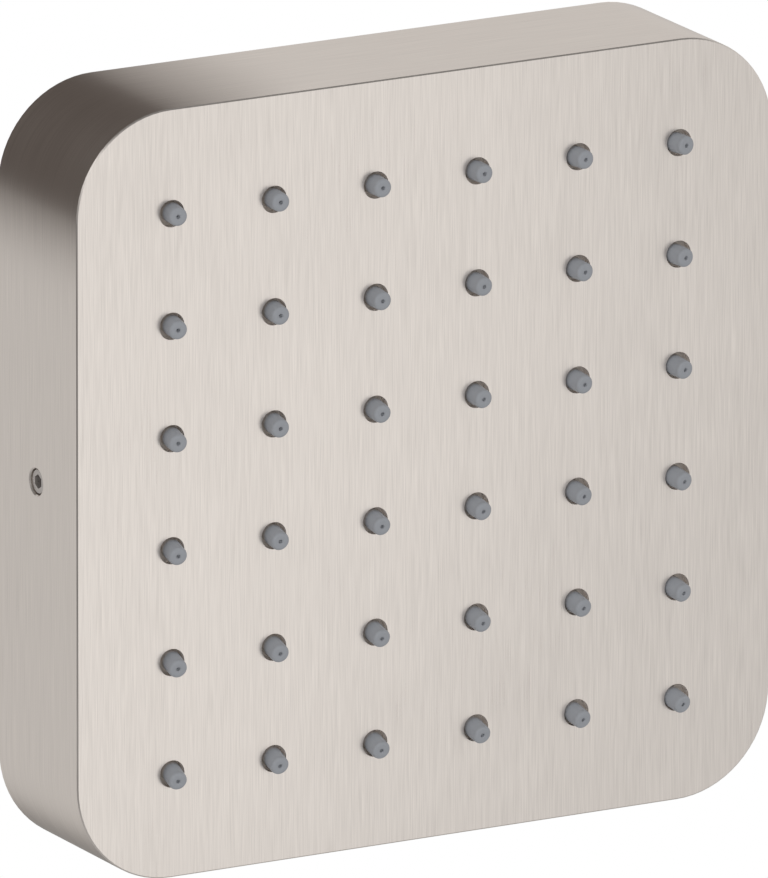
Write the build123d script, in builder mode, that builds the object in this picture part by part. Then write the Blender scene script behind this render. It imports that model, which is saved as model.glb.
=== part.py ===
from build123d import *
from math import atan, degrees, radians, sqrt, tan
import os

os.makedirs("parts", exist_ok=True)

# Square shower body jet, fixed to a wall by a concealed bracket.
# Millimetres and degrees. The wall is the plane y = 0, the spray face looks towards -Y and +Z is up.
# A depth is a distance from the wall towards the bather, so a point at depth d has y = -d.

# Nozzle field
nozzle_rows = 6
nozzle_columns = 6
nozzle_pitch = 17.5
hole_diameter = 4.25
hole_sides = 12

# Nozzles: soft cones that fan out sideways from the middle, and downwards row by row
# Each axis crosses its hole's own axis at a height in front of the spray face, seen from above and from the side
nozzle_root_diameter = 3.2
nozzle_tip_diameter = 2.9
nozzle_proud = 2.3
nozzle_sides = 8
orifice_diameter = 0.6
orifice_sides = 4
orifice_length = 1.0
feed_diameter = 1.8
column_fan_step = 3.2
column_cross_height = 1.6
row_fan_step = 2.5
first_row_tilt = 0.0
row_cross_height = -1.0

# Body
body_depth = 25.0
corner_radius = 16.0
side_wall = 2.5
face_plate = 1.5
front_edge_break = 0.4

# Water chamber behind the face
mat_thickness = 1.5
distributor_plate = 2.0
feed_slot_width = 5.0
chamber_margin = 4.25
chamber_wall = 2.5
chamber_height = 3.5
gasket_thickness = 1.0
cover_plate = 2.5
cover_clearance = 0.6
rib_height = 3.0
rib_width = 2.0
rib_count = 8
rib_end_margin = 4.0

# Cover screws, in bosses that fill the corners of the band between chamber and side wall
screw_diameter = 3.0
screw_sides = 12
screw_head_width = 5.5
screw_head_height = 2.0
screw_grip = 6.0
screw_clearance = 0.05
screw_hole_clearance = 0.25
boss_wall = 1.5
boss_end_gap = 0.5
boss_side_gap = 0.5

# Wall bracket, folded from sheet, with one flange at each side of the body
bracket_sheet = 1.5
bracket_bend = 1.5
bracket_width = 80.0
bracket_height = 56.0
bracket_corner = 6.0
flange_width = 24.0
flange_to_wall_gap = 3.2
flange_overlap = 4.5
flange_notch_gap = 3.0
flange_side_gap = 1.2
wall_hole_diameter = 5.0
wall_hole_spacing_x = 60.0
wall_hole_spacing_z = 38.0

# Lock screw in the left side
lock_depth = 12.0
lock_height = 1.0
lock_diameter = 4.0
lock_running_gap = 0.05
lock_recess = 0.35
lock_mouth_break = 0.2
lock_boss_diameter = 8.0
lock_boss_gap = 0.7
lock_point_depth = 0.65
lock_point_flat = 0.9
lock_point_gap = 0.2
lock_key_width = 2.0
lock_key_depth = 2.0

# Hook lug on the right side wall, in a window of the bracket
lug_width = 8.0
lug_thickness = 3.0
lug_gap = 0.3
lug_reach = 1.2

# Inlet: nipple in the wall, with a spigot in the cover's socket and a flat seal between them
thread_diameter = 20.955
thread_length = 12.0
nipple_bore = 13.0
nipple_collar = 2.0
nipple_collar_width = 26.0
bracket_hole_gap = 1.1
spigot_diameter = 18.0
spigot_length = 7.0
spigot_gap = 0.15
spigot_end_gap = 0.3
inlet_seal_thickness = 1.5
inlet_seal_gap = 0.1
socket_wall = 4.0

# Strainer, elastic ring and flow regulator, stacked in the bottom of the socket
insert_diameter = 15.0
insert_gap = 0.1
regulator_thickness = 1.6
regulator_opening = 5.0
ring_inner_diameter = 6.0
ring_outer_diameter = 10.0
ring_gap = 0.05
strainer_thickness = 1.6
strainer_rim = 1.6
strainer_floor = 0.6
strainer_slot = 1.0
strainer_bar = 0.9
outlet_diameter = 11.0

# Rear seal, in a rebate round the inside of the rear rim
wall_seal_thickness = 1.5
wall_seal_rebate = 1.2
wall_seal_overhang = 0.8
wall_seal_gap = 0.05

# Sizes that follow, from the nozzle field outwards
field_width = (nozzle_columns - 1) * nozzle_pitch
field_height = (nozzle_rows - 1) * nozzle_pitch
boss_diameter = screw_diameter + 2 * boss_wall
screw_band = boss_diameter + 2 * boss_side_gap
chamber_width = field_width + 2 * chamber_margin
chamber_tall = field_height + 2 * chamber_margin
tray_width = chamber_width + 2 * chamber_wall
tray_tall = chamber_tall + 2 * chamber_wall
inner_width = tray_width + 2 * screw_band
inner_height = tray_tall + 2 * screw_band
body_width = inner_width + 2 * side_wall
body_height = inner_height + 2 * side_wall
inner_radius = corner_radius - side_wall
tray_radius = inner_radius - screw_band
chamber_radius = max(tray_radius - chamber_wall, 0.5)

# Depths that follow, from the spray face back to the wall
face_back = body_depth - face_plate
mat_back = face_back - mat_thickness
tray_floor = mat_back - distributor_plate
tray_back = tray_floor - chamber_height
cover_front = tray_back - gasket_thickness
cover_back = cover_front - cover_plate
collar_front = bracket_sheet + nipple_collar
socket_back = collar_front + inlet_seal_thickness
spigot_front = collar_front + spigot_length
socket_floor = spigot_front + spigot_end_gap
insert_floor = socket_floor + strainer_thickness + regulator_thickness

# Screw places, in the corners on the band's middle line
corner_inset = inner_radius - (inner_radius - screw_band / 2) / sqrt(2)
screw_spacing_x = inner_width - 2 * corner_inset
screw_spacing_z = inner_height - 2 * corner_inset

# Flange and lock screw places along X
flange_outer = inner_width / 2 - flange_to_wall_gap
flange_inner = flange_outer - bracket_sheet
flange_reach = lock_depth + flange_overlap
lock_head_x = -body_width / 2 + lock_recess
lock_point_x = -flange_outer + lock_point_depth
lock_cone = (lock_diameter - lock_point_flat) / 2
lock_point_radius = lock_point_flat / 2 + lock_point_depth


def save(builder, name):
    """Label one finished piece and write its STEP file."""
    builder.part.label = name
    export_step(builder.part, f"parts/{name}.step")


def nozzle_place(row, column):
    """Place on one nozzle's axis at the back of the mat, with z along the jet."""
    lean = radians(column_fan_step * (column - (nozzle_columns - 1) / 2))
    drop = radians(first_row_tilt + row_fan_step * row)
    hole_x = (column - (nozzle_columns - 1) / 2) * nozzle_pitch
    hole_z = ((nozzle_rows - 1) / 2 - row) * nozzle_pitch
    x = hole_x - (face_plate + mat_thickness + column_cross_height) * tan(lean)
    z = hole_z + (face_plate + mat_thickness + row_cross_height) * tan(drop)
    return Plane(origin=(x, -mat_back, z), x_dir=(1, tan(lean), 0), z_dir=(tan(lean), -1, -tan(drop)))


def nozzle_places():
    """The places of all nozzles, at the back of the mat."""
    return [nozzle_place(row, column).location for row in range(nozzle_rows) for column in range(nozzle_columns)]


# Housing: a square shell, open towards the wall
with BuildPart() as housing:
    with BuildSketch(Plane.XZ):
        RectangleRounded(body_width, body_height, corner_radius)
    extrude(amount=body_depth)
    chamfer(housing.faces().sort_by(Axis.Y)[0].edges(), length=front_edge_break)
    with BuildSketch(Plane.XZ):
        RectangleRounded(inner_width, inner_height, inner_radius)
    extrude(amount=face_back, mode=Mode.SUBTRACT)
    with BuildSketch(Plane.XZ):
        RectangleRounded(
            inner_width + 2 * wall_seal_rebate, inner_height + 2 * wall_seal_rebate, inner_radius + wall_seal_rebate
        )
    extrude(amount=wall_seal_thickness, mode=Mode.SUBTRACT)
    # bosses for the cover screws
    with BuildSketch(Plane.XZ.offset(cover_front)):
        with GridLocations(screw_spacing_x, screw_spacing_z, 2, 2):
            Circle(boss_diameter / 2)
    extrude(amount=face_back - cover_front)
    with BuildSketch(Plane.XZ.offset(cover_front)):
        with GridLocations(screw_spacing_x, screw_spacing_z, 2, 2):
            RegularPolygon(screw_diameter / 2 + screw_clearance, screw_sides)
    extrude(amount=screw_grip + boss_end_gap, mode=Mode.SUBTRACT)
    # boss and threaded hole of the lock screw
    with BuildSketch(Plane(origin=(-inner_width / 2, -lock_depth, lock_height), z_dir=(1, 0, 0))):
        Circle(lock_boss_diameter / 2)
    extrude(amount=flange_to_wall_gap - lock_boss_gap)
    with BuildSketch(Plane(origin=(-body_width / 2, -lock_depth, lock_height), z_dir=(1, 0, 0))):
        Circle(lock_diameter / 2 + lock_running_gap)
    extrude(amount=side_wall + flange_to_wall_gap, mode=Mode.SUBTRACT)
    chamfer(housing.edges().filter_by(GeomType.CIRCLE).sort_by(Axis.X)[0], length=lock_mouth_break)
    # lug that hooks into the bracket's right flange
    with BuildSketch(Plane(origin=(inner_width / 2, -lock_depth, 0), x_dir=(0, 0, 1), z_dir=(-1, 0, 0))):
        Rectangle(lug_width, lug_thickness)
    extrude(amount=flange_to_wall_gap + bracket_sheet + lug_reach)
    # nozzle holes
    with BuildSketch(Plane.XZ.offset(face_back)):
        with GridLocations(nozzle_pitch, nozzle_pitch, nozzle_columns, nozzle_rows):
            RegularPolygon(hole_diameter / 2, hole_sides, major_radius=False)
    extrude(amount=face_plate, mode=Mode.SUBTRACT)
save(housing, "housing")

# Form of one nozzle along +Z from the back of the mat, and of its stepped bore
nozzle_length = mat_thickness + face_plate + nozzle_proud
nozzle_start = mat_thickness / 2
with BuildPart() as nozzle_form:
    with BuildSketch(Plane.XY.offset(nozzle_start)):
        RegularPolygon(nozzle_root_diameter / 2, nozzle_sides)
    with BuildSketch(Plane.XY.offset(nozzle_length)):
        RegularPolygon(nozzle_tip_diameter / 2, nozzle_sides)
    loft(ruled=True)
with BuildPart() as nozzle_bore:
    with BuildSketch(Plane.XY.offset(-nozzle_start)):
        RegularPolygon(feed_diameter / 2, orifice_sides)
    extrude(amount=nozzle_start + nozzle_length - orifice_length)
    with BuildSketch(Plane.XY.offset(nozzle_length)):
        RegularPolygon(orifice_diameter / 2, orifice_sides)
    extrude(amount=-orifice_length)

# Nozzle mat: one silicone moulding, a sheet with fanned hollow nozzles
with BuildPart() as nozzle_mat:
    with BuildSketch(Plane.XZ.offset(mat_back)):
        RectangleRounded(tray_width, tray_tall, tray_radius)
    extrude(amount=mat_thickness)
    with Locations(*nozzle_places()):
        add(nozzle_form.part)
        add(nozzle_bore.part, mode=Mode.SUBTRACT)
save(nozzle_mat, "nozzle_mat")

# Distributor: a tray that presses the mat and feeds each row through a slot
with BuildPart() as distributor:
    with BuildSketch(Plane.XZ.offset(tray_back)):
        RectangleRounded(tray_width, tray_tall, tray_radius)
    extrude(amount=mat_back - tray_back)
    with BuildSketch(Plane.XZ.offset(tray_back)):
        RectangleRounded(chamber_width, chamber_tall, chamber_radius)
    extrude(amount=chamber_height, mode=Mode.SUBTRACT)
    with BuildSketch(Plane.XZ.offset(tray_floor)):
        with GridLocations(nozzle_pitch, nozzle_pitch, 1, nozzle_rows):
            Rectangle(field_width + feed_slot_width, feed_slot_width)
    extrude(amount=distributor_plate, mode=Mode.SUBTRACT)
save(distributor, "distributor")

# Chamber gasket: a flat frame on the tray's rim
with BuildPart() as chamber_gasket:
    with BuildSketch(Plane.XZ.offset(cover_front)):
        RectangleRounded(tray_width, tray_tall, tray_radius)
        RectangleRounded(chamber_width, chamber_tall, chamber_radius, mode=Mode.SUBTRACT)
    extrude(amount=gasket_thickness)
save(chamber_gasket, "chamber_gasket")

# Chamber cover: ribbed plate with the inlet socket
socket_radius = spigot_diameter / 2 + spigot_gap
socket_outer = socket_radius + socket_wall
notch_start = tray_width / 2 + flange_side_gap / 2
notch_width = flange_width + 2 * flange_notch_gap
rib_end = min(chamber_width, chamber_tall) / 2 - rib_end_margin
with BuildPart() as chamber_cover:
    with BuildSketch(Plane.XZ.offset(cover_back)):
        RectangleRounded(
            inner_width - 2 * cover_clearance, inner_height - 2 * cover_clearance, inner_radius - cover_clearance
        )
        with Locations((-inner_width / 2, 0), (inner_width / 2, 0)):
            Rectangle(inner_width - 2 * notch_start, notch_width, mode=Mode.SUBTRACT)
        with GridLocations(screw_spacing_x, screw_spacing_z, 2, 2):
            RegularPolygon(screw_diameter / 2 + screw_hole_clearance, screw_sides, mode=Mode.SUBTRACT)
    extrude(amount=cover_plate)
    with BuildSketch(Plane.XZ.offset(socket_back)):
        Circle(socket_outer)
    extrude(amount=cover_front - socket_back)
    with BuildSketch(Plane.XZ.offset(cover_back)):
        with PolarLocations((rib_end + socket_radius) / 2, rib_count):
            Rectangle(rib_end - socket_radius, rib_width)
    extrude(amount=-rib_height)
    with BuildSketch(Plane.XZ.offset(socket_back)):
        Circle(socket_radius)
    extrude(amount=socket_floor - socket_back, mode=Mode.SUBTRACT)
    with BuildSketch(Plane.XZ.offset(socket_floor)):
        Circle(insert_diameter / 2 + insert_gap)
    extrude(amount=insert_floor - socket_floor, mode=Mode.SUBTRACT)
    with BuildSketch(Plane.XZ.offset(insert_floor)):
        Circle(outlet_diameter / 2)
    extrude(amount=cover_front - insert_floor, mode=Mode.SUBTRACT)
save(chamber_cover, "chamber_cover")

# Cover screws: hexagon-head screws that clamp the chamber to the bosses
with BuildPart() as cover_screws:
    with BuildSketch(Plane.XZ.offset(cover_back - screw_head_height)):
        with GridLocations(screw_spacing_x, screw_spacing_z, 2, 2):
            RegularPolygon(screw_head_width / 2, 6, major_radius=False)
    extrude(amount=screw_head_height)
    with BuildSketch(Plane.XZ.offset(cover_back)):
        with GridLocations(screw_spacing_x, screw_spacing_z, 2, 2):
            RegularPolygon(screw_diameter / 2, screw_sides)
    extrude(amount=cover_plate + screw_grip)
save(cover_screws, "cover_screws")

# Flow regulator: an orifice disc on the socket's inner step
regulator_back = insert_floor - regulator_thickness
with BuildPart() as flow_regulator:
    with BuildSketch(Plane.XZ.offset(regulator_back)):
        Circle(insert_diameter / 2)
        Circle(regulator_opening / 2, mode=Mode.SUBTRACT)
    extrude(amount=regulator_thickness)
save(flow_regulator, "flow_regulator")

# Regulator ring: square-section elastic ring, between the disc and the strainer's floor
with BuildPart() as regulator_ring:
    with BuildSketch(Plane.XZ.offset(socket_floor + strainer_floor + ring_gap)):
        Circle(ring_outer_diameter / 2)
        Circle(ring_inner_diameter / 2, mode=Mode.SUBTRACT)
    extrude(amount=strainer_thickness - strainer_floor - 2 * ring_gap)
save(regulator_ring, "regulator_ring")

# Inlet strainer: a rimmed sieve, its floor cut by parallel slots
strainer_inner = insert_diameter / 2 - strainer_rim
slot_pitch = strainer_slot + strainer_bar
slots_each_side = int((strainer_inner - strainer_slot) / slot_pitch)
with BuildPart() as inlet_strainer:
    with BuildSketch(Plane.XZ.offset(socket_floor)):
        Circle(insert_diameter / 2)
    extrude(amount=strainer_thickness)
    with BuildSketch(Plane.XZ.offset(socket_floor + strainer_floor)):
        Circle(strainer_inner)
    extrude(amount=strainer_thickness - strainer_floor, mode=Mode.SUBTRACT)
    with BuildSketch(Plane.XZ.offset(socket_floor)):
        for place in range(-slots_each_side, slots_each_side + 1):
            slot_edge = abs(place) * slot_pitch + strainer_slot / 2
            with Locations((0, place * slot_pitch)):
                Rectangle(2 * sqrt(strainer_inner**2 - slot_edge**2), strainer_slot)
    extrude(amount=strainer_floor, mode=Mode.SUBTRACT)
save(inlet_strainer, "inlet_strainer")

# Inlet nipple: supply thread, hexagon collar on the bracket and spigot for the cover's socket
with BuildPart() as inlet_nipple:
    with BuildSketch(Plane.XZ.offset(-thread_length)):
        Circle(thread_diameter / 2)
    extrude(amount=thread_length + bracket_sheet)
    with BuildSketch(Plane.XZ.offset(bracket_sheet)):
        RegularPolygon(nipple_collar_width / 2, 6, major_radius=False)
    extrude(amount=nipple_collar)
    with BuildSketch(Plane.XZ.offset(collar_front)):
        Circle(spigot_diameter / 2)
    extrude(amount=spigot_length)
    with BuildSketch(Plane.XZ.offset(-thread_length)):
        Circle(nipple_bore / 2)
    extrude(amount=thread_length + spigot_front, mode=Mode.SUBTRACT)
save(inlet_nipple, "inlet_nipple")

# Inlet seal: flat ring round the spigot, between the collar and the socket's end
with BuildPart() as inlet_seal:
    with BuildSketch(Plane.XZ.offset(collar_front)):
        Circle(nipple_collar_width / 2)
        Circle(spigot_diameter / 2 + inlet_seal_gap, mode=Mode.SUBTRACT)
    extrude(amount=inlet_seal_thickness)
save(inlet_seal, "inlet_seal")

# Wall bracket: folded sheet with a wide middle, two flanges and the wall screw holes
with BuildPart() as wall_bracket:
    with BuildSketch(Plane.XZ):
        Rectangle(2 * flange_outer, flange_width)
    extrude(amount=flange_reach)
    fillet(wall_bracket.edges().filter_by(Axis.Z).group_by(Axis.Y)[-1], radius=bracket_bend + bracket_sheet)
    with BuildSketch(Plane.XZ.offset(bracket_sheet)):
        Rectangle(2 * flange_inner, flange_width)
    extrude(amount=flange_reach - bracket_sheet, mode=Mode.SUBTRACT)
    inside_bends = wall_bracket.edges(Select.LAST).filter_by(Axis.Z).group_by(Axis.Y)[-1]
    fillet(inside_bends, radius=bracket_bend)
    with BuildSketch(Plane.XZ):
        RectangleRounded(bracket_width, bracket_height, bracket_corner)
    extrude(amount=bracket_sheet)
    with BuildSketch(Plane.XZ):
        Circle(thread_diameter / 2 + bracket_hole_gap)
        with GridLocations(wall_hole_spacing_x, wall_hole_spacing_z, 2, 2):
            Circle(wall_hole_diameter / 2)
    extrude(amount=bracket_sheet, mode=Mode.SUBTRACT)
    # seat of the lock screw's point, and the window for the lug
    with BuildSketch(Plane(origin=(-flange_outer, -lock_depth, lock_height), z_dir=(1, 0, 0))):
        Circle(lock_point_radius + lock_point_gap)
    extrude(amount=bracket_sheet, mode=Mode.SUBTRACT)
    with BuildSketch(Plane(origin=(flange_outer, -lock_depth, 0), x_dir=(0, 0, 1), z_dir=(-1, 0, 0))):
        Rectangle(lug_width + 2 * lug_gap, lug_thickness + 2 * lug_gap)
    extrude(amount=bracket_sheet, mode=Mode.SUBTRACT)
save(wall_bracket, "wall_bracket")

# Wall seal: soft frame in the rear rim's rebate
seal_outward = wall_seal_rebate - wall_seal_gap
with BuildPart() as wall_seal:
    with BuildSketch(Plane.XZ):
        RectangleRounded(inner_width + 2 * seal_outward, inner_height + 2 * seal_outward, inner_radius + seal_outward)
        RectangleRounded(
            inner_width - 2 * wall_seal_overhang,
            inner_height - 2 * wall_seal_overhang,
            inner_radius - wall_seal_overhang,
            mode=Mode.SUBTRACT,
        )
    extrude(amount=wall_seal_thickness)
save(wall_seal, "wall_seal")

# Grub screw: hexagon socket outside, cone point in the bracket's flange
lock_axis = Axis((0, -lock_depth, lock_height), (1, 0, 0))
with BuildPart() as grub_screw:
    with BuildSketch(Plane(origin=(0, -lock_depth, lock_height), x_dir=(1, 0, 0), z_dir=(0, 0, 1))):
        with BuildLine():
            Polyline(
                (lock_head_x, 0),
                (lock_head_x, lock_diameter / 2 - lock_mouth_break),
                (lock_head_x + lock_mouth_break, lock_diameter / 2),
                (lock_point_x - lock_cone, lock_diameter / 2),
                (lock_point_x, lock_point_flat / 2),
                (lock_point_x, 0),
                close=True,
            )
        make_face()
    revolve(axis=lock_axis)
    with BuildSketch(Plane(origin=(lock_head_x, -lock_depth, lock_height), z_dir=(1, 0, 0))):
        RegularPolygon(lock_key_width / 2, 6, major_radius=False)
    extrude(amount=lock_key_depth, mode=Mode.SUBTRACT)
save(grub_screw, "grub_screw")
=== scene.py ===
"""Looks of a square shower body jet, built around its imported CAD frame."""

import math

import bmesh
import bpy
from bpy.props import FloatProperty, FloatVectorProperty, IntProperty, PointerProperty
from mathutils import Matrix, Vector


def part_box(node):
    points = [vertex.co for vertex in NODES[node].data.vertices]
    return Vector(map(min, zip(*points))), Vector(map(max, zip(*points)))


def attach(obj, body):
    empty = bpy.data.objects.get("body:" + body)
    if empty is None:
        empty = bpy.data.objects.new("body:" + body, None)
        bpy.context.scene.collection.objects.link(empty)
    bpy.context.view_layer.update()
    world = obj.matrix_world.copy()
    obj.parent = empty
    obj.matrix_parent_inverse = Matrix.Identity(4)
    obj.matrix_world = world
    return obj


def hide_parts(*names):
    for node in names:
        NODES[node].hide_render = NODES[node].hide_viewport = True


bl_info = {
    "name": "Shower body jet",
    "version": (1, 0, 0),
    "blender": (4, 5, 0),
    "location": "View3D > Sidebar > Body jet",
    "description": "Dresses the body jet's frame with its spray face, nozzles, finishes and studio",
    "category": "Object",
}

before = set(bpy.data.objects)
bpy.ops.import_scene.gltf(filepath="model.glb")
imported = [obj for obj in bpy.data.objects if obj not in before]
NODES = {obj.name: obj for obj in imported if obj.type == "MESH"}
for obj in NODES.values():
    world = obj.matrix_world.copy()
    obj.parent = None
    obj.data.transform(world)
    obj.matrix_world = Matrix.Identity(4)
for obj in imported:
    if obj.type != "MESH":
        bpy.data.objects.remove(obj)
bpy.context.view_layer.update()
HOUSING_LOW, HOUSING_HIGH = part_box("housing")
MAT_LOW, MAT_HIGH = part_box("nozzle_mat")
NIPPLE_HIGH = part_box("inlet_nipple")[1]
FACE_Y = HOUSING_LOW.y
MAT_BACK = abs(MAT_HIGH.y - FACE_Y)
MM = 0.001
MODULE = "module"

# Tolerances of the mesh work
CAD_MERGE = 0.002 * MM
MERGE = 0.001 * MM
ROOM = 0.01 * MM
OUTLINE_ROOM = 0.15 * MM
SIDE_TILT = 0.1
FLAT_PART = 0.99999
FLAT_ANGLE = math.radians(0.5)
SHARP_ANGLE = math.radians(30)
NOZZLE_SHARP_ANGLE = math.radians(40)
QUARTER_TURN = math.radians(90)


# Shader wiring
class Wire:
    """One output socket in a node tree; arithmetic on it adds Math nodes."""

    def __init__(self, tree, socket=None):
        self.tree = tree
        self.socket = socket

    def node(self, kind, settings=None, inputs=None, output=0):
        """Adds a node, sets its settings first and then its sockets, and wires on from one output."""
        made = self.tree.nodes.new(kind)
        for name, value in (settings or {}).items():
            setattr(made, name, value)
        for name, value in (inputs or {}).items():
            if isinstance(value, Wire):
                self.tree.links.new(value.socket, made.inputs[name])
            else:
                made.inputs[name].default_value = value
        return Wire(self.tree, made.outputs[output])

    def math(self, operation, *others, clamp=False):
        """A Math node on this wire and other wires or numbers."""
        values = {0: self}
        for index, other in enumerate(others):
            values[index + 1] = other
        return self.node("ShaderNodeMath", {"operation": operation, "use_clamp": clamp}, values)

    def __add__(self, other):
        return self.math("ADD", other)

    __radd__ = __add__

    def __mul__(self, other):
        return self.math("MULTIPLY", other)

    __rmul__ = __mul__

    def __sub__(self, other):
        return self.math("SUBTRACT", other)

    def __rsub__(self, other):
        return (self * -1.0).math("ADD", other)

    def __abs__(self):
        return self.math("ABSOLUTE")

    def clamped(self):
        """This wire held between 0 and 1."""
        return self.math("MULTIPLY", 1.0, clamp=True)

    def swing(self, share):
        """A noise's swing about its middle, times a share."""
        return (self - 0.5) * share

    def part(self, axis):
        """One axis of a vector."""
        return self.node("ShaderNodeSeparateXYZ", {}, {"Vector": self}, axis)

    def step(self, low, high):
        """0 below low, 1 above high, smooth between them."""
        return self.node(
            "ShaderNodeMapRange",
            {"interpolation_type": "SMOOTHSTEP"},
            {"Value": self, "From Min": low, "From Max": high},
        )

    # A Mix node names its sockets alike for all types of data, so these two methods use their numbers
    def mix_colour(self, low, high):
        """Colour low where this wire is 0 and high where it is 1."""
        return self.node("ShaderNodeMix", {"data_type": "RGBA"}, {"Factor": self, 6: low, 7: high}, 2)

    def mix_value(self, low, high):
        """Value low where this wire is 0 and high where it is 1."""
        return self.node("ShaderNodeMix", {"data_type": "FLOAT"}, {"Factor": self, 2: low, 3: high}, 0)


def rgba(colour):
    """A colour with full alpha."""
    return (colour[0], colour[1], colour[2], 1.0)


def shaded(colour, part):
    """A darker shade of a colour."""
    return [value * part for value in colour]


def start_material(name):
    """A new material, its wire and its shader node."""
    material = bpy.data.materials.new(name)
    material.use_nodes = True
    tree = material.node_tree
    shader = tree.nodes["Principled BSDF"]
    return material, Wire(tree), shader


def plug(shader, **values):
    """Sets or links sockets of a shader; underscores in the names stand for spaces."""
    for name, value in values.items():
        socket = shader.inputs[name.replace("_", " ")]
        if isinstance(value, Wire):
            value.tree.links.new(value.socket, socket)
        else:
            socket.default_value = value


def show(wire, shown):
    """Links a mixed shader to the material's surface."""
    wire.tree.links.new(shown.socket, wire.tree.nodes["Material Output"].inputs["Surface"])


def noise(wire, vector, scale, detail=3.0, roughness=0.55):
    """Noise about 0.5 on a vector."""
    return wire.node(
        "ShaderNodeTexNoise",
        {"noise_dimensions": "3D"},
        {"Vector": vector, "Scale": scale, "Detail": detail, "Roughness": roughness},
        "Fac",
    )


def stretched(wire, coordinates, along):
    """Object coordinates with each axis scaled, so that noise on them draws streaks."""
    return wire.node("ShaderNodeMapping", {"vector_type": "POINT"}, {"Vector": coordinates, "Scale": along})


def bump(wire, height, strength, distance):
    """A normal that follows a height."""
    return wire.node("ShaderNodeBump", {}, {"Height": height, "Strength": strength, "Distance": distance})


def object_coordinates(wire):
    """A piece's own coordinates, which are the frame's."""
    return wire.node("ShaderNodeTexCoord", {}, {}, "Object")


def brushed_metal(name, colour, shade, edge, inside, roughness, sides_along):
    """Brushed metal, up and down on the spray face and along the outline on the sides, dull inside, where
    its colour is painted shade.
    """
    material, wire, shader = start_material(name)
    place = object_coordinates(wire)
    normal = wire.node("ShaderNodeNewGeometry", {}, {}, "Normal")
    facing = abs(normal.part("Y")).step(0.55, 0.8)
    fine_scale = 7000.0
    fine_detail = 1.0
    fine_share = 0.78
    wide_scale = 1800.0
    wide_detail = 2.0
    wide_share = 0.22
    face_along = (1.0, 0.05, 0.02)
    on_face = stretched(wire, place, face_along)
    on_sides = stretched(wire, place, sides_along)
    fine = facing.mix_value(
        noise(wire, on_sides, fine_scale, fine_detail),
        noise(wire, on_face, fine_scale, fine_detail),
    )
    wide = facing.mix_value(
        noise(wire, on_sides, wide_scale, wide_detail),
        noise(wire, on_face, wide_scale, wide_detail),
    )
    side_contrast = 1.75
    face_contrast = 1.85
    contrast = facing.mix_value(side_contrast, face_contrast)
    streak = (fine * fine_share + wide * wide_share).swing(contrast)
    cloud = noise(wire, place, 28.0, 2.0)
    tone = streak + cloud.swing(0.3) + 0.5
    brushed = tone.clamped().mix_colour(rgba(shade), rgba(colour))
    # The dull part starts behind the face's rims and stays clear of the outer sides and corners. Its warm
    # colour there is painted shade for the walls of the holes.
    middle = 1.0 - abs(place.part("X")).math("MAXIMUM", abs(place.part("Z"))).step(49.0 * MM, 51.0 * MM)
    dull = (place.part("Y") - FACE_Y).step(0.08 * MM, 0.30 * MM) * middle
    plug(
        shader,
        Base_Color=dull.mix_colour(brushed, rgba(inside)),
        Metallic=1.0 - dull,
        Roughness=streak * 0.05 + cloud.swing(0.06) + dull * 0.25 + roughness,
        Specular_Tint=rgba(edge),
        Normal=bump(wire, streak, 0.08, 0.01 * MM),
    )
    return material


def turned_metal(name, colour, shade, roughness, metallic=1.0):
    """Turned or rolled metal with a fine even grain."""
    material, wire, shader = start_material(name)
    place = object_coordinates(wire)
    grain_along = (1.0, 0.15, 1.0)
    grain = noise(wire, stretched(wire, place, grain_along), 2600.0, 2.0)
    stain = noise(wire, place, 120.0, 4.0)
    tone = grain.swing(0.8) + stain.swing(0.7) + 0.55
    plug(
        shader,
        Base_Color=tone.clamped().mix_colour(rgba(shade), rgba(colour)),
        Metallic=metallic,
        Roughness=stain.swing(0.18) + grain.swing(0.1) + roughness,
        Normal=bump(wire, grain, 0.08, 0.02 * MM),
    )
    return material


def moulded_skin(wire, place, skin_scale, cloud_scale, roughness, depth):
    """Tone, roughness and normal of a fine moulded skin with soft unevenness."""
    skin = noise(wire, place, skin_scale)
    cloud = noise(wire, place, cloud_scale)
    tone = skin.swing(0.5) + cloud.swing(0.9) + 0.5
    unevenness = cloud.swing(0.12) + skin.swing(0.12) + roughness
    return tone.clamped(), unevenness, bump(wire, skin, 0.2, depth)


def moulded(name, colour, shade, roughness, skin_scale, skin_depth):
    """Moulded plastic or rubber."""
    material, wire, shader = start_material(name)
    place = object_coordinates(wire)
    cloud_scale = skin_scale * 0.05
    tone, unevenness, normal = moulded_skin(wire, place, skin_scale, cloud_scale, roughness, skin_depth)
    plug(
        shader,
        Base_Color=tone.mix_colour(rgba(shade), rgba(colour)),
        Roughness=unevenness,
        Normal=normal,
    )
    return material


def soft_silicone(name, colour, shade, tip, root, roughness):
    """Silicone with painted shade: a little darker at the nozzles' tips, and a warm grey down in the holes
    that stands in for the shaded gaps round their roots.
    """
    material, wire, shader = start_material(name)
    place = object_coordinates(wire)
    tone, unevenness, normal = moulded_skin(wire, place, 2400.0, 160.0, roughness, 0.02 * MM)
    depth = place.part("Y") - FACE_Y
    body = tone.mix_colour(rgba(shade), rgba(colour))
    # Painted shade: the tips take a darker colour that evens out the light falling on them from the front
    nozzle = depth.step(-2.1 * MM, -1.5 * MM).mix_colour(rgba(tip), body)
    plug(
        shader,
        # Painted shade: below the face the silicone turns a warm grey that stands in for the shaded gaps in
        # the holes
        Base_Color=depth.step(0.2 * MM, 1.4 * MM).mix_colour(nozzle, rgba(root)),
        Roughness=unevenness,
        Normal=normal,
    )
    return material


# Mesh helpers
def merge_flat(mesh_builder):
    """Merges faces that lie in one plane."""
    bmesh.ops.dissolve_limit(
        mesh_builder, angle_limit=FLAT_ANGLE, verts=mesh_builder.verts, edges=mesh_builder.edges
    )


def cad_copy(node):
    """A CAD node's mesh with its loose triangles merged into flat faces."""
    copy = bmesh.new()
    copy.from_mesh(NODES[node].data)
    bmesh.ops.remove_doubles(copy, verts=copy.verts, dist=CAD_MERGE)
    merge_flat(copy)
    return copy


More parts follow.
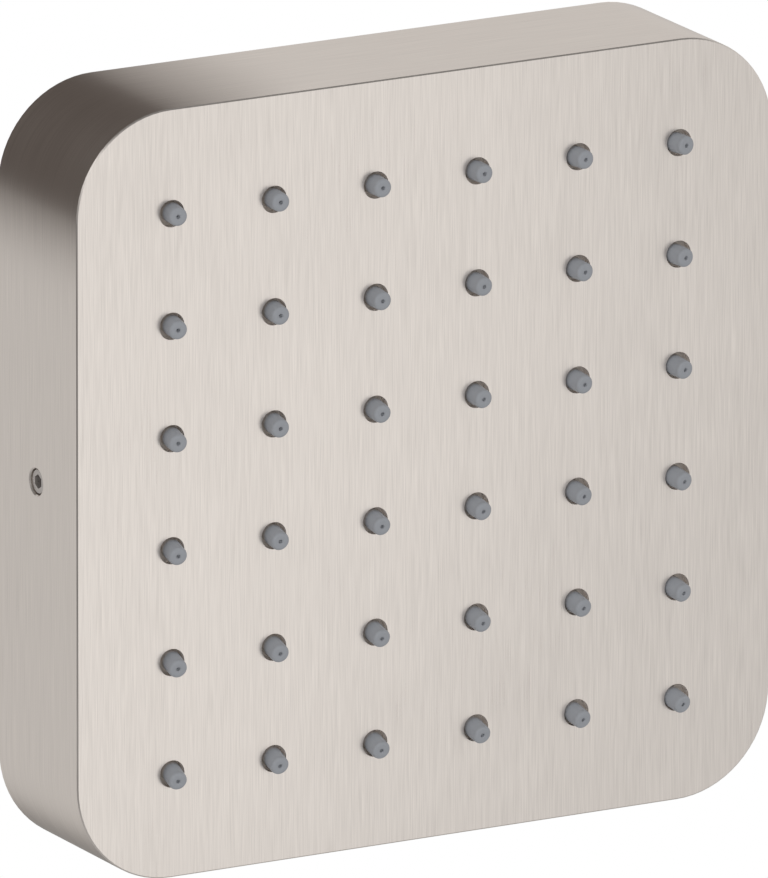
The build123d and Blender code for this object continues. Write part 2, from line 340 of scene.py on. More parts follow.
def finish_mesh(mesh_builder, name, sharp_angle=SHARP_ANGLE):
    """Turns a bmesh into an object at the origin, smooth below an angle and sharp above it."""
    mesh = bpy.data.meshes.new(name)
    for face in mesh_builder.faces:
        face.smooth = True
    mesh_builder.to_mesh(mesh)
    mesh_builder.free()
    mesh.set_sharp_from_angle(angle=sharp_angle)
    made = bpy.data.objects.new(name, mesh)
    bpy.context.scene.collection.objects.link(made)
    return made


def only_points(items):
    """The vertices among a bmesh's items."""
    return [item for item in items if isinstance(item, bmesh.types.BMVert)]


def once_each(items):
    """A bmesh's items without repeats, in the order they come in."""
    return list(dict.fromkeys(items))


def lathe(mesh_builder, profile, steps):
    """Spins a profile of (radius, height) points round Z into a closed shape."""
    line = [mesh_builder.verts.new((radius, 0.0, height)) for radius, height in profile]
    edges = [mesh_builder.edges.new(pair) for pair in zip(line, line[1:])]
    bmesh.ops.spin(
        mesh_builder,
        geom=line + edges,
        cent=(0, 0, 0),
        axis=(0, 0, 1),
        angle=math.tau,
        steps=steps,
        use_merge=True,
    )
    bmesh.ops.remove_doubles(mesh_builder, verts=mesh_builder.verts, dist=MERGE)
    bmesh.ops.recalc_face_normals(mesh_builder, faces=mesh_builder.faces)


def fill_rows(mesh_builder, sizes, place):
    """Copies a shape to its place in each row and column, and takes the first one away."""
    source = mesh_builder.verts[:] + mesh_builder.edges[:] + mesh_builder.faces[:]
    for row in range(sizes.rows):
        for column in range(sizes.columns):
            copy = bmesh.ops.duplicate(mesh_builder, geom=source)["geom"]
            bmesh.ops.transform(mesh_builder, matrix=place(sizes, row, column), verts=only_points(copy))
    bmesh.ops.delete(mesh_builder, geom=only_points(source), context="VERTS")


def lay_material(node, material):
    """Gives a CAD node one material in all its slots."""
    slots = NODES[node].data.materials
    if not slots:
        slots.append(material)
    for index in range(len(slots)):
        slots[index] = material


# Sizes and colours
class BodyJetSizes(bpy.types.PropertyGroup):
    """Sizes of the body, its nozzles and the nipple's thread."""

    columns: IntProperty(name="Columns", description="Nozzles across the face", default=6)
    rows: IntProperty(name="Rows", description="Nozzles down the face", default=6)
    pitch: FloatProperty(
        name="Pitch", description="Distance between nozzles", default=17.5 * MM, unit="LENGTH"
    )
    hole_radius: FloatProperty(
        name="Hole radius",
        description="Radius of the face's holes",
        default=2.12 * MM,
        unit="LENGTH",
        precision=5,
    )
    rim_width: FloatProperty(
        name="Rim width", description="Width of each hole's shallow rim", default=0.75 * MM, unit="LENGTH"
    )
    rim_depth: FloatProperty(
        name="Rim depth",
        description="Depth of each hole's shallow rim",
        default=0.025 * MM,
        unit="LENGTH",
        precision=5,
    )
    edge_break: FloatProperty(
        name="Edge break",
        description="Broken edge round the spray face",
        default=0.2 * MM,
        unit="LENGTH",
        precision=5,
    )
    corner_radius: FloatProperty(
        name="Corner radius", description="Radius of the body's corners", default=16.0 * MM, unit="LENGTH"
    )
    corner_lead: FloatProperty(
        name="Corner lead",
        description="Turn of the shading where a side meets a corner",
        default=math.radians(5.0),
        unit="ROTATION",
    )
    corner_fade: FloatProperty(
        name="Corner fade",
        description="Length of side over which most of the turn fades",
        default=4.5 * MM,
        unit="LENGTH",
    )
    face_plate: FloatProperty(
        name="Face plate", description="Thickness of the spray face", default=1.5 * MM, unit="LENGTH"
    )
    root_radius: FloatProperty(
        name="Nozzle root", description="Nozzle radius at the mat", default=1.6 * MM, unit="LENGTH"
    )
    tip_radius: FloatProperty(
        name="Nozzle tip", description="Nozzle radius at its tip", default=1.45 * MM, unit="LENGTH"
    )
    proud: FloatProperty(
        name="Nozzle height",
        description="Height of the nozzles above the face",
        default=2.3 * MM,
        unit="LENGTH",
    )
    tip_round: FloatProperty(
        name="Tip rounding", description="Rounding of the nozzle's tip", default=0.45 * MM, unit="LENGTH"
    )
    orifice_radius: FloatProperty(
        name="Orifice radius",
        description="Radius of the jet's orifice",
        default=0.27 * MM,
        unit="LENGTH",
        precision=5,
    )
    column_fan: FloatProperty(
        name="Column fan",
        description="Sideways lean from one column to the next",
        default=math.radians(3.2),
        unit="ROTATION",
    )
    column_cross: FloatProperty(
        name="Column crossing",
        description="Height above the face where a leaning axis crosses its hole's axis",
        default=1.6 * MM,
        unit="LENGTH",
    )
    row_fan: FloatProperty(
        name="Row fan",
        description="Downward lean from one row to the next",
        default=math.radians(2.5),
        unit="ROTATION",
    )
    row_cross: FloatProperty(
        name="Row crossing",
        description="Height above the face where a drooping axis crosses its hole's axis",
        default=-1.0 * MM,
        unit="LENGTH",
    )
    thread_radius: FloatProperty(
        name="Thread radius",
        description="Outer radius of the nipple's thread",
        default=10.4775 * MM,
        unit="LENGTH",
        precision=5,
    )
    thread_depth: FloatProperty(
        name="Thread depth",
        description="Depth of the nipple's thread",
        default=1.162 * MM,
        unit="LENGTH",
        precision=5,
    )
    thread_pitch: FloatProperty(
        name="Thread pitch",
        description="Pitch of the nipple's thread",
        default=1.814 * MM,
        unit="LENGTH",
        precision=5,
    )
    thread_start: FloatProperty(
        name="Thread start",
        description="Distance of the thread from the wall plane",
        default=1.0 * MM,
        unit="LENGTH",
    )


class BodyJetColours(bpy.types.PropertyGroup):
    """Colours of the finishes."""

    nickel: FloatVectorProperty(
        name="Nickel",
        description="Brushed body",
        subtype="COLOR",
        default=(0.79, 0.732, 0.680),
        min=0.0,
        max=1.0,
    )
    nickel_shade: FloatVectorProperty(
        name="Nickel shade",
        description="Darker brush streaks",
        subtype="COLOR",
        default=(0.63, 0.582, 0.540),
        min=0.0,
        max=1.0,
    )
    nickel_edge: FloatVectorProperty(
        name="Nickel edge",
        description="Tint of the body at a flat angle",
        subtype="COLOR",
        default=(0.93, 0.895, 0.865),
        min=0.0,
        max=1.0,
    )
    # Painted shade: a warm tone for the walls of the holes, which stands in for their shade
    nickel_inside_painted_shade: FloatVectorProperty(
        name="Nickel inside",
        description="Dull inside of the body",
        subtype="COLOR",
        default=(0.78, 0.70, 0.64),
        min=0.0,
        max=1.0,
    )
    silicone: FloatVectorProperty(
        name="Silicone",
        description="Nozzles",
        subtype="COLOR",
        default=(0.310, 0.324, 0.351),
        min=0.0,
        max=1.0,
    )
    silicone_shade: FloatVectorProperty(
        name="Silicone shade",
        description="Darker parts of the nozzles",
        subtype="COLOR",
        default=(0.272, 0.286, 0.311),
        min=0.0,
        max=1.0,
    )
    # Painted shade: a darker colour for the nozzles' tips, which evens out the light falling on them from
    # the front
    silicone_tip_painted_shade: FloatVectorProperty(
        name="Silicone tip",
        description="Tips of the nozzles",
        subtype="COLOR",
        default=(0.276, 0.287, 0.309),
        min=0.0,
        max=1.0,
    )
    # Painted shade: a warm grey for the silicone down in the holes, standing in for their shaded gaps
    silicone_root_painted_shade: FloatVectorProperty(
        name="Silicone root",
        description="Silicone down in the holes",
        subtype="COLOR",
        default=(0.50, 0.455, 0.415),
        min=0.0,
        max=1.0,
    )
    plastic: FloatVectorProperty(
        name="Plastic",
        description="Chamber mouldings",
        subtype="COLOR",
        default=(0.50, 0.50, 0.48),
        min=0.0,
        max=1.0,
    )
    rubber: FloatVectorProperty(
        name="Rubber",
        description="Seals",
        subtype="COLOR",
        default=(0.035, 0.035, 0.037),
        min=0.0,
        max=1.0,
    )
    steel: FloatVectorProperty(
        name="Steel",
        description="Bracket and cover screws",
        subtype="COLOR",
        default=(0.62, 0.62, 0.61),
        min=0.0,
        max=1.0,
    )
    lock_steel: FloatVectorProperty(
        name="Lock steel",
        description="Lock screw",
        subtype="COLOR",
        default=(0.46, 0.425, 0.40),
        min=0.0,
        max=1.0,
    )
    lock_shade: FloatVectorProperty(
        name="Lock shade",
        description="Darker grain of the lock screw",
        subtype="COLOR",
        default=(0.34, 0.31, 0.29),
        min=0.0,
        max=1.0,
    )
    brass: FloatVectorProperty(
        name="Brass",
        description="Inlet nipple",
        subtype="COLOR",
        default=(0.72, 0.53, 0.25),
        min=0.0,
        max=1.0,
    )


# Places on the body
def hole_middle(sizes, row, column):
    """Where a hole's axis meets the spray face, across and up."""
    across = (column - (sizes.columns - 1) / 2) * sizes.pitch
    up = ((sizes.rows - 1) / 2 - row) * sizes.pitch
    return across, up


def hole_place(sizes, row, column):
    """Matrix that puts a plug made along +Z in its hole, with the spray face at its zero."""
    across, up = hole_middle(sizes, row, column)
    return Matrix.Translation((across, FACE_Y, up)) @ Matrix.Rotation(QUARTER_TURN, 4, "X")


def nozzle_place(sizes, row, column):
    """Matrix that puts a nozzle made along +Z from the back of the mat in its hole, with its lean."""
    across = math.tan(sizes.column_fan * (column - (sizes.columns - 1) / 2))
    down = math.tan(sizes.row_fan * row)
    hole_x, hole_z = hole_middle(sizes, row, column)
    origin = Vector(
        (
            hole_x - (MAT_BACK + sizes.column_cross) * across,
            MAT_HIGH.y,
            hole_z + (MAT_BACK + sizes.row_cross) * down,
        )
    )
    jet = Vector((across, -1.0, -down)).normalized()
    turn = Vector((0, 0, 1)).rotation_difference(jet).to_matrix().to_4x4()
    return Matrix.Translation(origin) @ turn


def from_hole(place, sizes):
    """Distance of a place from the axis of its nearest hole."""
    across = place.x / sizes.pitch + (sizes.columns - 1) / 2
    up = place.z / sizes.pitch + (sizes.rows - 1) / 2
    column = min(max(round(across), 0), sizes.columns - 1)
    row = min(max(round(up), 0), sizes.rows - 1)
    return math.hypot(across - column, up - row) * sizes.pitch


def corner_start(sizes):
    """Distance from the middle at which the flat sides end and the corners start."""
    return HOUSING_HIGH.x - sizes.corner_radius


def past_sides(place, sizes):
    """How far a place lies past the ends of the flat sides, across and up."""
    start = corner_start(sizes)
    return max(abs(place.x) - start, 0.0), max(abs(place.z) - start, 0.0)


def on_outline(place, sizes):
    """Whether a place lies on the body's outer sides."""
    return math.hypot(*past_sides(place, sizes)) > sizes.corner_radius - OUTLINE_ROOM


def outline_normal(place, sizes):
    """Shading normal of the body's sides: it starts to turn on the flat, before the corner."""
    across = abs(place.x) - corner_start(sizes)
    up = abs(place.z) - corner_start(sizes)
    lead = sizes.corner_lead
    easing = 0.4
    if across > 0 and up > 0:
        part = math.atan2(up, across) / QUARTER_TURN
        eased = part - easing * math.sin(math.tau * part) / math.tau
        angle = lead + (QUARTER_TURN - 2.0 * lead) * eased
    elif up > across:
        angle = QUARTER_TURN - lead * math.exp(across / sizes.corner_fade)
    else:
        angle = lead * math.exp(up / sizes.corner_fade)
    return Vector((math.copysign(math.cos(angle), place.x), 0.0, math.copysign(math.sin(angle), place.z)))


def soft_corners(piece, sizes):
    """Keeps flat faces flat and lets the shading of the rounded corners run out onto the sides."""
    mesh = piece.data
    normals = [corner.vector.copy() for corner in mesh.corner_normals]
    for face in mesh.polygons:
        outer = abs(face.normal.y) < SIDE_TILT and on_outline(face.center, sizes)
        flat = max(abs(part) for part in face.normal) > FLAT_PART
        for loop in face.loop_indices:
            if outer:
                place = mesh.vertices[mesh.loops[loop].vertex_index].co
                normals[loop] = outline_normal(place, sizes)
            elif flat:
                normals[loop] = face.normal.copy()
    mesh.normals_split_custom_set(normals)


# Pieces
class BODYJET_OT_spray_body(bpy.types.Operator):
    """Makes the brushed body from the CAD housing, with round rimmed holes in its spray face"""

    bl_idname = "bodyjet.spray_body"
    bl_label = "Spray body"

    def execute(self, context):
        sizes = context.scene.bodyjet_sizes
        colours = context.scene.bodyjet_colours
        shell = cad_copy("housing")
        self.close_holes(shell, sizes)
        self.narrow_edge(shell, sizes)
        self.corner_loops(shell, sizes)
        body = finish_mesh(shell, "spray_body")
        self.cut_holes(context, body, sizes)
        soft_corners(body, sizes)
        nickel = brushed_metal(
            "brushed_nickel",
            colours.nickel,
            colours.nickel_shade,
            colours.nickel_edge,
            colours.nickel_inside_painted_shade,
            roughness=0.30,
            sides_along=(0.012, 1.0, 0.012),
        )
        body.data.materials.clear()
        body.data.materials.append(nickel)
        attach(body, MODULE)
        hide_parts("housing")
        return {"FINISHED"}

    def close_holes(self, shell, sizes):
        """Closes the flat-sided holes of the CAD face, where round ones are cut."""
        reach = sizes.hole_radius * 1.2
        behind = FACE_Y + sizes.face_plate + ROOM
        walls = []
        for face in shell.faces:
            places = [corner.co for corner in face.verts]
            if all(from_hole(place, sizes) < reach and place.y < behind for place in places):
                walls.append(face)
        bmesh.ops.delete(shell, geom=walls, context="FACES_ONLY")
        rims = [edge for edge in shell.edges if edge.is_boundary]
        bmesh.ops.holes_fill(shell, edges=rims, sides=0)
        merge_flat(shell)

    def narrow_edge(self, shell, sizes):
        """Narrows the broken edge round the spray face."""
        near = 0.6 * MM
        for point in shell.verts:
            depth = point.co.y - FACE_Y
            across, up = past_sides(point.co, sizes)
            out = math.hypot(across, up)
            if depth > near or out < sizes.corner_radius - near:
                continue
            if depth > ROOM:
                point.co.y = FACE_Y + sizes.edge_break
            else:
                grow = (sizes.corner_radius - sizes.edge_break) / out - 1.0
                point.co.x += math.copysign(across * grow, point.co.x)
                point.co.z += math.copysign(up * grow, point.co.z)

    def corner_loops(self, shell, sizes):
        """Cuts loops across the sides beside each corner, for the shading to fade along."""
        fades = (0.0, 0.3, 0.7, 1.2, 2.0, 3.2, 5.0)
        steps = [corner_start(sizes) - sizes.corner_fade * fade for fade in fades]
        for axis in (Vector((1, 0, 0)), Vector((0, 0, 1))):
            for step in steps:
                for side in (-1, 1):
                    self.cut_sides(shell, sizes, axis * step * side, axis)

    def cut_sides(self, shell, sizes, place, axis):
        """Cuts the outer sides, and no other faces, across an axis."""
        sides = [
            face
            for face in shell.faces
            if abs(face.normal.y) < SIDE_TILT and on_outline(face.calc_center_median(), sizes)
        ]
        edges = once_each(edge for face in sides for edge in face.edges)
        points = once_each(point for face in sides for point in face.verts)
        bmesh.ops.bisect_plane(
            shell, geom=sides + edges + points, dist=MERGE, plane_co=place, plane_no=axis
        )

    def cut_holes(self, context, body, sizes):
        """Cuts the round holes and keeps the result as the body's own mesh."""
        cutter = self.hole_cutter(sizes)
        cut = body.modifiers.new("holes", "BOOLEAN")
        cut.operation = "DIFFERENCE"
        cut.solver = "EXACT"
        cut.object = cutter
        graph = context.evaluated_depsgraph_get()
        holed = bpy.data.meshes.new_from_object(body.evaluated_get(graph))
        body.modifiers.remove(cut)
        body.data = holed
        bpy.data.objects.remove(cutter)
        for face in holed.polygons:
            face.use_smooth = True
        holed.set_sharp_from_angle(angle=SHARP_ANGLE)

    def hole_cutter(self, sizes):
        """Round plugs with a flared mouth, one for each hole."""
        plugs = bmesh.new()
        above = 0.5 * MM
        behind = -sizes.face_plate - above
        flare = sizes.rim_width / sizes.rim_depth
        turn_out = 0.35
        turn_deep = 0.45
        hole_steps = 48
        profile = [
            (0.0, behind),
            (sizes.hole_radius, behind),
            (sizes.hole_radius, -sizes.rim_depth),
            (sizes.hole_radius + sizes.rim_width * turn_out, -sizes.rim_depth * turn_deep),
            (sizes.hole_radius + sizes.rim_width, 0.0),
            (sizes.hole_radius + sizes.rim_width + above * flare, above),
            (0.0, above),
        ]
        lathe(plugs, profile, hole_steps)
        fill_rows(plugs, sizes, hole_place)
        return finish_mesh(plugs, "hole_cutter")


class BODYJET_OT_nozzles(bpy.types.Operator):
    """Makes the silicone mat with its round fanned nozzles"""

    bl_idname = "bodyjet.nozzles"
    bl_label = "Nozzles"

    def execute(self, context):
        sizes = context.scene.bodyjet_sizes
        colours = context.scene.bodyjet_colours
        mat = bmesh.new()
        thickness = MAT_BACK - sizes.face_plate
        nozzle_steps = 40
        lathe(mat, self.nozzle_profile(sizes, thickness * 0.5), nozzle_steps)
        fill_rows(mat, sizes, nozzle_place)
        self.add_sheet(mat, thickness)
        piece = finish_mesh(mat, "silicone_nozzles", NOZZLE_SHARP_ANGLE)
        silicone = soft_silicone(
            "silicone",
            colours.silicone,
            colours.silicone_shade,
            colours.silicone_tip_painted_shade,
            colours.silicone_root_painted_shade,
            roughness=0.52,
        )
        piece.data.materials.append(silicone)
        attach(piece, MODULE)
        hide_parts("nozzle_mat")
        return {"FINISHED"}

    def nozzle_profile(self, sizes, foot):
        """Outline of a nozzle from its foot in the sheet over the rounded tip and down its bore."""
        length = MAT_BACK + sizes.proud
        slope = (sizes.root_radius - sizes.tip_radius) / (length - foot)
        shoulder = sizes.tip_radius + slope * sizes.tip_round
        mouth = sizes.orifice_radius
        throat = mouth * 0.45
        bore = 0.9 * MM
        profile = [(sizes.root_radius, foot)]
        for turn in (0, 22.5, 45, 67.5, 90):
            angle = math.radians(turn)
            radius = shoulder - sizes.tip_round + sizes.tip_round * math.cos(angle)
            height = length - sizes.tip_round + sizes.tip_round * math.sin(angle)
            profile.append((radius, height))
        # The mouth's soft edge: how far out from the orifice and how deep, in mm
        mouth_edge = ((0.20, 0.0), (0.12, 0.03), (0.03, 0.10), (0.0, 0.20), (0.0, 0.45))
        profile += [(mouth + out * MM, length - deep * MM) for out, deep in mouth_edge]
        profile += [
            (throat, length - 0.55 * MM),
            (throat, length - 1.0 * MM),
            (bore, length - 1.3 * MM),
            (bore, foot),
        ]
        return profile

    def add_sheet(self, mat, thickness):
        """The mat's flat sheet behind the spray face."""
        corner_round = 6.5 * MM
        size = MAT_HIGH - MAT_LOW
        middle = Vector((0, MAT_HIGH.y - thickness / 2, 0))
        matrix = Matrix.Translation(middle) @ Matrix.Diagonal((size.x, thickness, size.z, 1.0))
        sheet = bmesh.ops.create_cube(mat, size=1.0, matrix=matrix)
        edges = once_each(edge for point in sheet["verts"] for edge in point.link_edges)
        upright = [edge for edge in edges if abs((edge.verts[0].co - edge.verts[1].co).y) > thickness * 0.5]
        bmesh.ops.bevel(
            mat, geom=upright, offset=corner_round, segments=6, profile=0.5, affect="EDGES", material=-1
        )


class BODYJET_OT_threaded_nipple(bpy.types.Operator):
    """Makes the brass nipple from the CAD one, with its pipe thread cut on the wall end"""

    bl_idname = "bodyjet.threaded_nipple"
    bl_label = "Threaded nipple"

    def execute(self, context):
        sizes = context.scene.bodyjet_sizes
        colours = context.scene.bodyjet_colours
        nipple = cad_copy("inlet_nipple")
        self.cut_core(nipple, sizes)
        self.wind_ridge(nipple, sizes)
        bmesh.ops.recalc_face_normals(nipple, faces=nipple.faces)
        piece = finish_mesh(nipple, "threaded_nipple")
        brass = turned_metal("brass", colours.brass, shaded(colours.brass, 0.84), roughness=0.28)
        piece.data.materials.append(brass)
        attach(piece, MODULE)
        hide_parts("inlet_nipple")
        return {"FINISHED"}

    def cut_core(self, nipple, sizes):
        """Narrows the wall end to the thread's core, past a short plain neck."""
        neck = 0.5 * MM
        for depth in (sizes.thread_start - neck, sizes.thread_start):
            bmesh.ops.bisect_plane(
                nipple,
                geom=nipple.verts[:] + nipple.edges[:] + nipple.faces[:],
                dist=MERGE,
                plane_co=(0, depth, 0),
                plane_no=(0, 1, 0),
            )
        core = sizes.thread_radius - sizes.thread_depth
        for point in nipple.verts:
            reach = math.hypot(point.co.x, point.co.z)
            if point.co.y > sizes.thread_start - ROOM and reach > core:
                point.co.x *= core / reach
                point.co.z *= core / reach

    def wind_ridge(self, nipple, sizes):
        """Winds the thread's ridge round the core, with its foot a little inside it."""
        foot = sizes.thread_radius - sizes.thread_depth * 1.1
        crest = sizes.thread_radius
        pitch = sizes.thread_pitch
        first = sizes.thread_start + pitch * 0.1
        turn_steps = 36
        # Reach of the ridge's corners, and their places along one pitch
        ridge = [(foot, 0.0), (crest, 0.38), (crest, 0.54), (foot, 0.92)]
        corners = [nipple.verts.new((reach, first + pitch * part, 0.0)) for reach, part in ridge]
        loop = [nipple.edges.new((corners[index - 1], corners[index])) for index in range(len(corners))]
        turns = int((NIPPLE_HIGH.y - corners[-1].co.y) / pitch)
        wound = bmesh.ops.spin(
            nipple,
            geom=corners + loop,
            cent=(0, 0, 0),
            axis=(0, 1, 0),
            dvec=(0, pitch / turn_steps, 0),
            angle=math.tau * turns,
            steps=turn_steps * turns,
        )
        last = [item for item in wound["geom_last"] if isinstance(item, bmesh.types.BMEdge)]
        bmesh.ops.contextual_create(nipple, geom=loop)
        bmesh.ops.contextual_create(nipple, geom=last)


class BODYJET_OT_finishes(bpy.types.Operator):
    """Gives the CAD pieces their finishes"""

    bl_idname = "bodyjet.finishes"
    bl_label = "Finishes"

    def execute(self, context):
        colours = context.scene.bodyjet_colours
        plastic = moulded(
            "moulded_plastic",
            colours.plastic,
            shaded(colours.plastic, 0.86),
            roughness=0.48,
            skin_scale=1800.0,
            skin_depth=0.02 * MM,
        )
        rubber = moulded(
            "seal_rubber",
            colours.rubber,
            shaded(colours.rubber, 0.6),
            roughness=0.62,
            skin_scale=2200.0,
            skin_depth=0.03 * MM,
        )
        steel = turned_metal("stainless", colours.steel, shaded(colours.steel, 0.86), roughness=0.34)
        lock = turned_metal(
            "lock_steel", colours.lock_steel, colours.lock_shade, roughness=0.30, metallic=0.55
        )
        finishes = {
            "distributor": plastic,
            "chamber_cover": plastic,
            "flow_regulator": plastic,
            "inlet_strainer": plastic,
            "chamber_gasket": rubber,
            "regulator_ring": rubber,
            "inlet_seal": rubber,
            "wall_seal": rubber,
            "wall_bracket": steel,
            "cover_screws": steel,
            "grub_screw": lock,
        }
        for node, material in finishes.items():
            lay_material(node, material)
        return {"FINISHED"}


# Stage
class BODYJET_OT_studio(bpy.types.Operator):
    """Makes the pale floor, the light tent with its cards, the lamp and the camera"""

    bl_idname = "bodyjet.studio"
    bl_label = "Studio"

    def execute(self, context):
        self.floor()
        self.tent(context)
        self.card(
            "dark_arch",
            self.arch(centre=(-0.044, 0.044), radius=0.045, angles=(38, 206), depth=(0.0, 0.12)),
            soft=(0.046, 0.066),
            colour=(0.100, 0.085, 0.078),
        )
        self.card(
            "front_card",
            self.disc(centre=(-0.050, -0.225, -0.005), radius=0.215),
            soft=(0.172, 0.212),
            colour=(1.06, 1.06, 1.06),
        )
        self.card(
            "front_flag",
            self.disc(centre=(0.045, -0.222, 0.010), radius=0.075),
            soft=(0.0, 0.075),
            colour=(0.96, 0.96, 0.96),
        )
        self.lamp(context, "front_soft", place=(-1.15, -1.55, 0.70), size=1.8, power=7.0)
        self.camera(context)
        context.scene.view_settings.view_transform = "Standard"
        return {"FINISHED"}

    def floor(self):
        """A pale floor that the camera sees as white."""
        ground = bmesh.new()
        height = -0.7
        reach = 20.0
        low = Matrix.Translation((0, 0, height))
        bmesh.ops.create_grid(ground, x_segments=8, y_segments=8, size=reach, matrix=low)
        floor = finish_mesh(ground, "floor")
        material, wire, shader = start_material("pale_floor")
        seen = wire.node("ShaderNodeLightPath", {}, {}, "Is Camera Ray")
        plug(shader, Base_Color=(0.8, 0.8, 0.8, 1.0), Roughness=0.9)
        glow = wire.node("ShaderNodeEmission", {}, {"Color": (1, 1, 1, 1), "Strength": 1.0})
        body = Wire(wire.tree, shader.outputs[0])
        show(wire, wire.node("ShaderNodeMixShader", {}, {0: seen, 1: body, 2: glow}))
        floor.data.materials.append(material)
        floor.visible_glossy = False

    def tent(self, context):
        """A light tent: even in front, darker overhead, below, at the far left and low behind."""
        world = bpy.data.worlds.new("light_tent")
        context.scene.world = world
        world.use_nodes = True
        wire = Wire(world.node_tree)
        back = world.node_tree.nodes["Background"]
        direction = wire.node("ShaderNodeTexCoord", {}, {}, "Generated")
        across, inward, upward = (direction.part(axis) for axis in "XYZ")
        behind_left = self.towards(direction, (-0.467, 0.843, -0.266)).step(0.55, 0.95)
        low = 1.0 - upward.step(-0.22, 0.05)
        low_behind = self.towards(direction, (0.42, 0.84, -0.33)).step(0.70, 1.0) * low
        far_left = (across * -1.0).step(0.55, 0.85)
        overhead = upward.step(0.45, 0.80)
        below = (upward * -1.0).step(0.50, 0.80)
        # Each dimmer part of the tent, and the share of the light that it takes away
        dimmer = (
            (behind_left, 0.055),
            (low_behind, 0.62),
            (far_left, 0.70),
            (overhead, 0.70),
            (below, 0.35),
        )
        front_level = 0.78
        rear_level = 0.815
        soft_level = 0.85
        level = inward.step(-0.2, 0.4).mix_value(front_level, rear_level)
        for mask, share in dimmer:
            level = level * (1.0 - mask * share)
        seen = wire.node("ShaderNodeLightPath", {}, {}, "Is Camera Ray")
        mirrored = wire.node("ShaderNodeLightPath", {}, {}, "Is Glossy Ray")
        strength = seen.mix_value(mirrored.mix_value(soft_level, level), 1.0)
        plug(back, Color=(1.0, 1.0, 1.0, 1.0), Strength=strength)

    def towards(self, direction, aim):
        """How closely a direction in the tent points the way of an aim."""
        unit = Vector(aim).normalized()
        inputs = {0: direction, 1: unit}
        return direction.node("ShaderNodeVectorMath", {"operation": "DOT_PRODUCT"}, inputs, "Value")

    def disc(self, centre, radius):
        """A flat disc across Y, and its middle."""
        flat = bmesh.new()
        upright = Matrix.Translation(centre) @ Matrix.Rotation(QUARTER_TURN, 4, "X")
        bmesh.ops.create_circle(flat, cap_ends=True, segments=64, radius=radius, matrix=upright)
        return flat, Vector((centre[0], 0, centre[2]))

    def arch(self, centre, radius, angles, depth):
        """A band bent round an axis along Y, and the middle of its bend."""
        start, end = (math.radians(angle) for angle in angles)
        axis = Vector((centre[0], 0, centre[1]))

        def on_bend(angle, y=0.0):
            return axis + Vector((radius * math.cos(angle), y, radius * math.sin(angle)))

        band = bmesh.new()
        foot = [band.verts.new(on_bend(start, y)) for y in depth]
        line = band.edges.new(foot)
        bmesh.ops.spin(band, geom=foot + [line], cent=axis, axis=(0, -1, 0), angle=end - start, steps=40)
        return band, on_bend((start + end) / 2)

    def card(self, name, shape, soft, colour):
        """A card that only reflections show, soft between two distances from its middle."""
        mesh_builder, middle = shape
        card = finish_mesh(mesh_builder, name)
        material, wire, shader = start_material(name)
        place = stretched(wire, object_coordinates(wire), (1.0, 0.0, 1.0))
        inputs = {0: place, 1: middle}
        reach = wire.node("ShaderNodeVectorMath", {"operation": "DISTANCE"}, inputs, "Value")
        clear = reach.step(soft[0], soft[1])
        shine = wire.node("ShaderNodeEmission", {}, {"Color": rgba(colour), "Strength": 1.0})
        open_air = wire.node("ShaderNodeBsdfTransparent")
        wire.tree.nodes.remove(shader)
        show(wire, wire.node("ShaderNodeMixShader", {}, {0: clear, 1: shine, 2: open_air}))
        card.data.materials.append(material)
        card.visible_camera = False
        card.visible_diffuse = False
        card.visible_transmission = False
        card.visible_shadow = False

    def lamp(self, context, name, place, size, power):
        """A round soft lamp that points at the origin."""
        light = bpy.data.lights.new(name, "AREA")
        light.shape = "DISK"
        light.size = size
        light.energy = power
        lamp = bpy.data.objects.new(name, light)
        lamp.location = place
        lamp.rotation_euler = (Vector((0, 0, 0)) - Vector(place)).to_track_quat("-Z", "Y").to_euler()
        context.scene.collection.objects.link(lamp)

    def camera(self, context):
        """A camera at the photograph's angle, far off and with a long lens."""
        around = math.radians(28.99)
        height = math.radians(15.44)
        roll = math.radians(0.11)
        distance = 3.756
        lens = 1015.3
        sensor = 36.0
        far_end = 100.0
        to_left = 0.00035
        to_below = 0.00011
        target = Vector((0, -0.0125, 0))
        back = Vector(
            (-math.sin(around) * math.cos(height), -math.cos(around) * math.cos(height), math.sin(height))
        )
        right = Vector((math.cos(around), -math.sin(around), 0))
        up = back.cross(right)
        level_right = right * math.cos(roll) + up * math.sin(roll)
        level_up = up * math.cos(roll) - right * math.sin(roll)
        data = bpy.data.cameras.new("photo_camera")
        data.lens = lens
        data.sensor_width = sensor
        data.clip_end = far_end
        camera = bpy.data.objects.new("photo_camera", data)
        place = target - level_right * to_left - level_up * to_below + back * distance
        turn = Matrix((level_right, level_up, back)).transposed().to_4x4()
        camera.matrix_world = Matrix.Translation(place) @ turn
        context.scene.collection.objects.link(camera)
        context.scene.camera = camera


# Panel and registration
class BODYJET_PT_panel(bpy.types.Panel):
    """Lists the body jet's pieces in the sidebar"""

    bl_label = "Body jet"
    bl_idname = "BODYJET_PT_panel"
    bl_space_type = "VIEW_3D"
    bl_region_type = "UI"
    bl_category = "Body jet"

    def draw(self, context):
        for operator in OPERATORS:
            self.layout.operator(operator.bl_idname)
        for group in (context.scene.bodyjet_sizes, context.scene.bodyjet_colours):
            for name in group.__annotations__:
                self.layout.prop(group, name)


OPERATORS = (
    BODYJET_OT_spray_body,
    BODYJET_OT_nozzles,
    BODYJET_OT_threaded_nipple,
    BODYJET_OT_finishes,
    BODYJET_OT_studio,
)
CLASSES = (BodyJetSizes, BodyJetColours) + OPERATORS + (BODYJET_PT_panel,)


def register():
    for made in CLASSES:
        bpy.utils.register_class(made)
    bpy.types.Scene.bodyjet_sizes = PointerProperty(type=BodyJetSizes)
    bpy.types.Scene.bodyjet_colours = PointerProperty(type=BodyJetColours)


def unregister():
    del bpy.types.Scene.bodyjet_colours
    del bpy.types.Scene.bodyjet_sizes
    for made in reversed(CLASSES):
        bpy.utils.unregister_class(made)


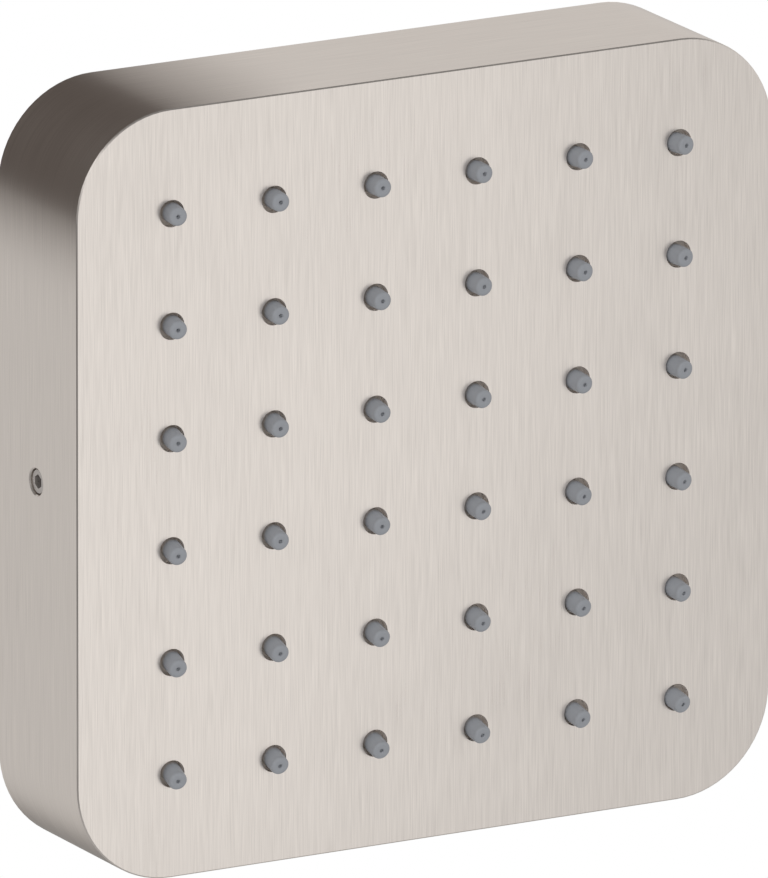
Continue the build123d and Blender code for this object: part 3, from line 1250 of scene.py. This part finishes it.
def main():
    register()
    bpy.ops.bodyjet.spray_body()
    bpy.ops.bodyjet.nozzles()
    bpy.ops.bodyjet.threaded_nipple()
    bpy.ops.bodyjet.finishes()
    bpy.ops.bodyjet.studio()


if __name__ == "__main__":
    main()
